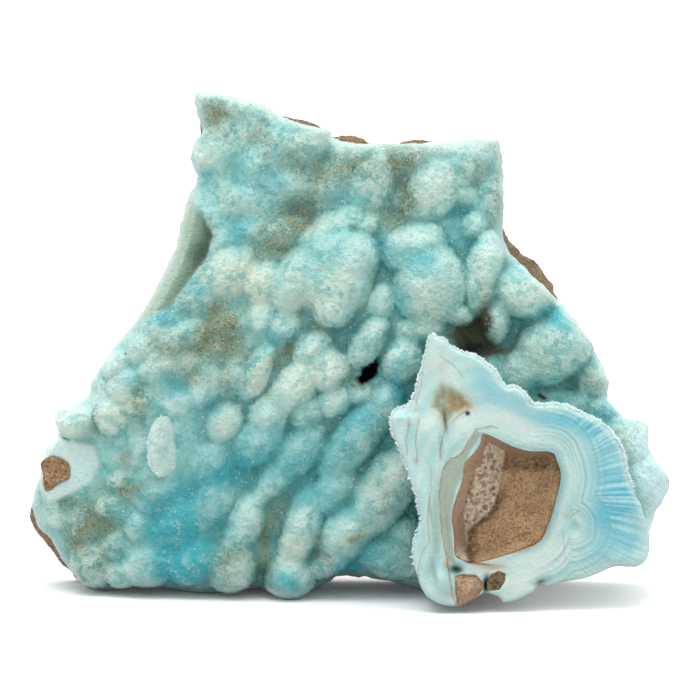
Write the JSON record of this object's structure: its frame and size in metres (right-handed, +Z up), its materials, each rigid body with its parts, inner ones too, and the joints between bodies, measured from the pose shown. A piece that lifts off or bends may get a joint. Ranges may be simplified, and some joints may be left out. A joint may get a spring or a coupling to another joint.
{
  "type": "aragonite hand specimen",
  "caption": "Blue lumpy mineral crust on brown host rock, standing on its own feet, with a thick stub broken across to show a pitted brown core in pale and blue bands.",
  "frame": {"origin": "middle of the specimen's footprint, on the ground that it stands on", "axes": "+Z up, +X to the right of the lumpy front, -Y out of the front towards the viewer"},
  "size_m": [0.1275, 0.0483, 0.0995],
  "materials": {
    "aragonite": "sugary, softly translucent blue crust with pale bands where it is broken",
    "host_rock": "dull brown, pitted and sandy"
  },
  "bodies": {
    "root": {"aragonite": "aragonite", "host_rock_back": "host_rock", "host_rock_core": "host_rock", "host_rock_knob": "host_rock", "host_rock_chip": "host_rock", "host_rock_tip": "host_rock"}
  },
  "joints": []
}
